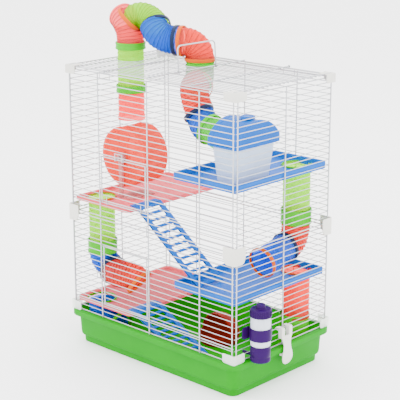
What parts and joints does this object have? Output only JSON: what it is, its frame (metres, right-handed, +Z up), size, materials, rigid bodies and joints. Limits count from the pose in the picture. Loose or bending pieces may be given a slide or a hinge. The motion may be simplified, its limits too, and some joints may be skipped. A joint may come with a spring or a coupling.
{
  "type": "hamster_cage",
  "caption": "Two-storey wire hamster cage on a green tray, with coloured shelves, ladders, a wheel, a house, a bottle and winding tubes",
  "frame": {"origin": "centre of the tray's underside", "axes": "+X along the long front face to the right, +Y from the front to the back, +Z up"},
  "size_m": [0.5108, 0.3, 0.7081],
  "materials": {
    "tray_green": null,
    "wire": null,
    "clip_grey": null,
    "clip_clear": null,
    "shelf_pink": null,
    "shelf_blue": null,
    "ladder_blue": null,
    "wheel_coral": null,
    "stand_pink": null,
    "axle_steel": null,
    "house_clear": null,
    "roof_blue": null,
    "bottle_clear": null,
    "bottle_purple": null,
    "dish_ruby": null,
    "tube_lime": null,
    "tube_pink": null,
    "tube_blue": null,
    "tube_coral": null,
    "tube_green": null,
    "ring_green": null,
    "ring_orange": null,
    "ring_navy": null
  },
  "bodies": {
    "cage": {"tray": "tray_green", "lower_front_panel": "wire", "lower_back_panel": "wire", "lower_left_panel": "wire", "lower_right_panel": "wire", "upper_front_panel": "wire", "upper_back_panel": "wire", "upper_left_panel": "wire", "upper_right_panel": "wire", "top_panel": "wire", "top_corner_clips": "clip_grey", "middle_corner_clips": "clip_grey", "rim_corner_clips": "clip_clear", "seam_clips": "wire", "upper_pink_shelf": "shelf_pink", "lower_pink_shelf": "shelf_pink", "upper_blue_shelf": "shelf_blue", "lower_blue_shelf": "shelf_blue", "wheel_axle": "axle_steel", "wheel_stand": "stand_pink", "house_body": "house_clear", "bottle_body": "bottle_clear", "bottle_base": "bottle_purple", "bottle_holder": "bottle_purple", "left_top_tube": "tube_lime", "right_upper_tube": "tube_lime", "front_left_tube": "tube_lime", "coral_tubes": "tube_coral", "house_tube": "tube_green", "right_blue_tube": "tube_blue", "top_pink_elbow": "tube_pink", "top_lime_elbow": "tube_lime", "top_blue_elbow": "tube_blue", "top_coral_elbow": "tube_coral", "mid_green_elbow": "tube_green", "mid_coral_elbow": "tube_coral", "mid_blue_elbow": "tube_blue", "right_coral_elbow": "tube_coral", "left_blue_elbow": "tube_blue", "left_pink_elbow": "tube_pink", "connectors_green": "ring_green", "connectors_orange": "ring_orange", "connectors_navy": "ring_navy"},
    "upper_door": {"upper_front_door": "wire"},
    "upper_latch": {"upper_door_latch": "wire"},
    "lower_door": {"lower_front_door": "wire"},
    "lower_latch": {"lower_door_latch": "wire"},
    "front_loop": {"top_loop_front": "wire"},
    "back_loop": {"top_loop_back": "wire"},
    "handle": {"carry_handle": "wire"},
    "left_hook": {"left_side_latch": "clip_grey"},
    "right_hook": {"right_side_latch": "clip_grey"},
    "ladder_up": {"upper_ladder": "ladder_blue"},
    "ladder_low": {"lower_ladder": "ladder_blue"},
    "wheel": {"wheel_drum": "wheel_coral"},
    "roof": {"house_roof": "roof_blue", "house_cap": "roof_blue"},
    "cap": {"bottle_cap": "bottle_purple"},
    "dish": {"food_dish": "dish_ruby", "dish_hood": "dish_ruby"}
  },
  "joints": [
    {"name": "upper_door_hinge", "type": "hinge", "parent": "cage", "child": "upper_door", "pos_m": [-0.0685, -0.138, 0.321], "axis": [1, 0, 0], "range_deg": [0, 110]},
    {"name": "upper_latch_hinge", "type": "hinge", "parent": "upper_door", "child": "upper_latch", "pos_m": [-0.08, -0.138, 0.41562], "axis": [1, 0, 0], "range_deg": [0, 80]},
    {"name": "lower_door_hinge", "type": "hinge", "parent": "cage", "child": "lower_door", "pos_m": [0, -0.14052, 0.167], "axis": [0, 0, 1], "range_deg": [0, 150]},
    {"name": "lower_latch_hinge", "type": "hinge", "parent": "lower_door", "child": "lower_latch", "pos_m": [-0.129, -0.14052, 0.16525], "axis": [0, 0, 1], "range_deg": [0, 110]},
    {"name": "front_loop_hinge", "type": "hinge", "parent": "cage", "child": "front_loop", "pos_m": [-0.113, -0.1438, 0.58962], "axis": [0, 1, 0], "range_deg": [-40, 40]},
    {"name": "back_loop_hinge", "type": "hinge", "parent": "cage", "child": "back_loop", "pos_m": [0.113, 0.1438, 0.58962], "axis": [0, 1, 0], "range_deg": [-40, 40]},
    {"name": "handle_hinge", "type": "hinge", "parent": "cage", "child": "handle", "pos_m": [0, 0, 0.58962], "axis": [0, 1, 0], "range_deg": [0, 80]},
    {"name": "left_hook_hinge", "type": "hinge", "parent": "cage", "child": "left_hook", "pos_m": [-0.2235, 0, 0.11027], "axis": [0, 1, 0], "range_deg": [0, 65]},
    {"name": "right_hook_hinge", "type": "hinge", "parent": "cage", "child": "right_hook", "pos_m": [0.2235, 0, 0.11027], "axis": [0, -1, 0], "range_deg": [0, 65]},
    {"name": "upper_ladder_hinge", "type": "hinge", "parent": "cage", "child": "ladder_up", "pos_m": [-0.074, -0.0825, 0.3201], "axis": [0, -1, 0], "range_deg": [0, 20]},
    {"name": "lower_ladder_hinge", "type": "hinge", "parent": "cage", "child": "ladder_low", "pos_m": [-0.074, -0.0894, 0.1021], "axis": [0, -1, 0], "range_deg": [0, 20]},
    {"name": "wheel_spin", "type": "hinge", "parent": "cage", "child": "wheel", "pos_m": [-0.153, -0.027, 0.397], "axis": [0, 1, 0], "continuous": true},
    {"name": "roof_lift", "type": "slide", "parent": "cage", "child": "roof", "axis": [0, 0, 1], "range_m": [0, 0.03]},
    {"name": "cap_turn", "type": "hinge", "parent": "cage", "child": "cap", "pos_m": [0.248, -0.091, 0.17], "axis": [0, 0, 1], "continuous": true},
    {"name": "dish_lift", "type": "slide", "parent": "cage", "child": "dish", "axis": [0, 0, 1], "range_m": [0, 0.05]}
  ]
}
